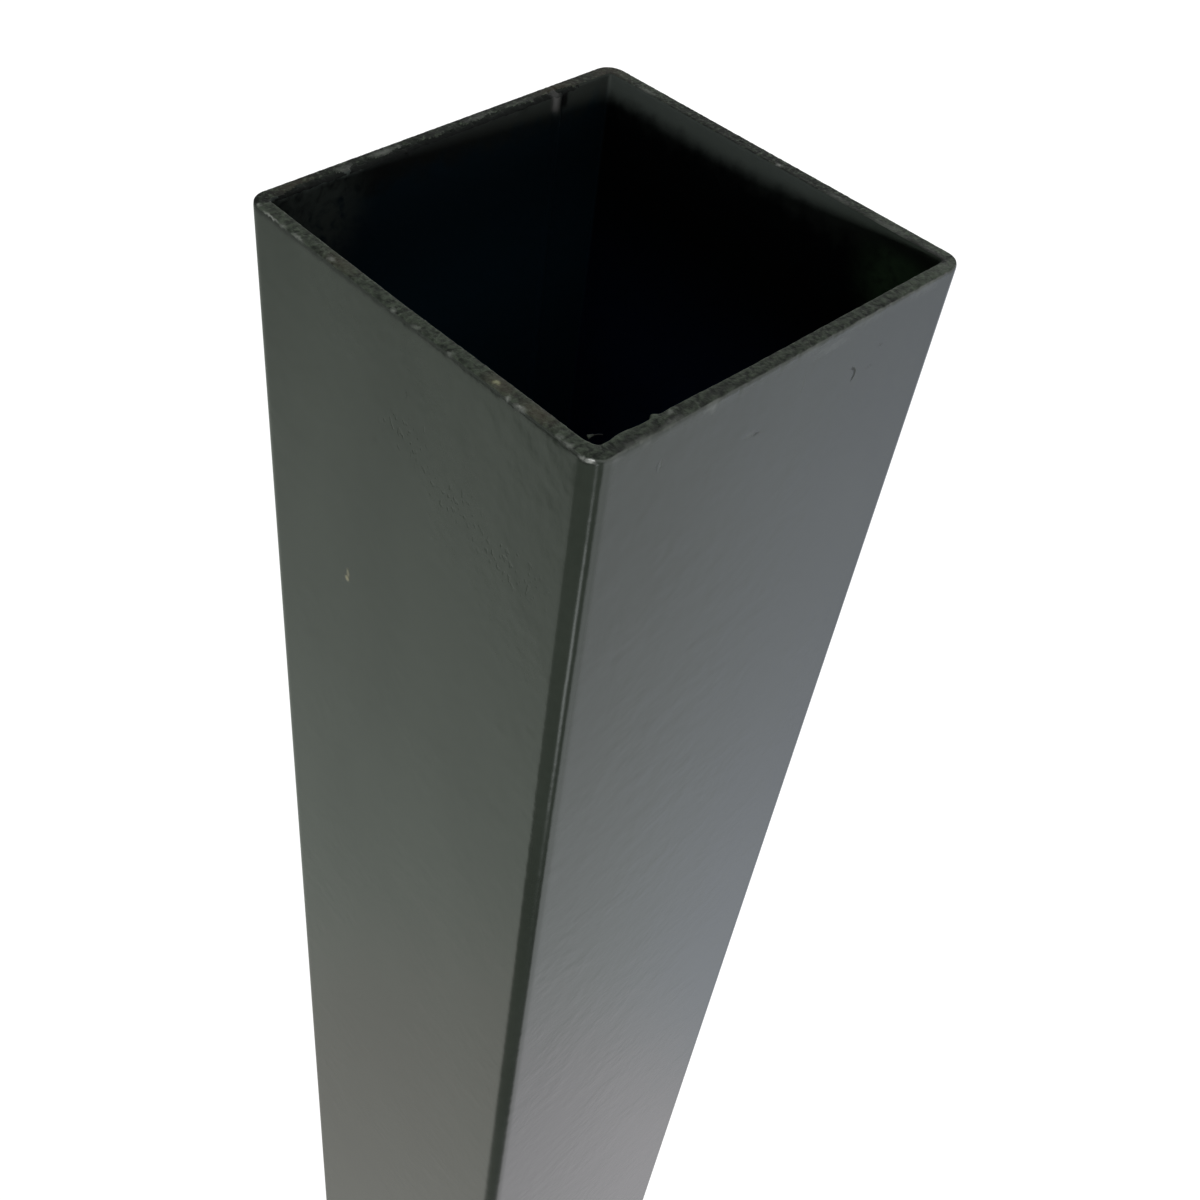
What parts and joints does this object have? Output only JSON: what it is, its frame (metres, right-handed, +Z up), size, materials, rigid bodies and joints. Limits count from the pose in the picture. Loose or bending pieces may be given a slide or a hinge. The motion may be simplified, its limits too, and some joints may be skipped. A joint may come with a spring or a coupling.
{
  "type": "square metal tube",
  "caption": "Straight length of cold-formed square steel tube with rounded corners, an inside weld bead and open sawn ends, painted dark grey.",
  "frame": {"origin": "middle of the bottom sawn end, where the tube stands on the floor", "axes": "+Z up the tube towards the top sawn end; +Y towards the wall with the weld bead inside; +X along that wall towards the corner nearest the bead"},
  "size_m": [0.06, 0.06, 1],
  "materials": {
    "dark_paint": "satin dark grey paint over smooth cold-rolled steel, with faint scratches, and fine saw marks and flecks of bare metal on the cut ends"
  },
  "bodies": {
    "root": {"square_tube": "dark_paint"}
  },
  "joints": []
}
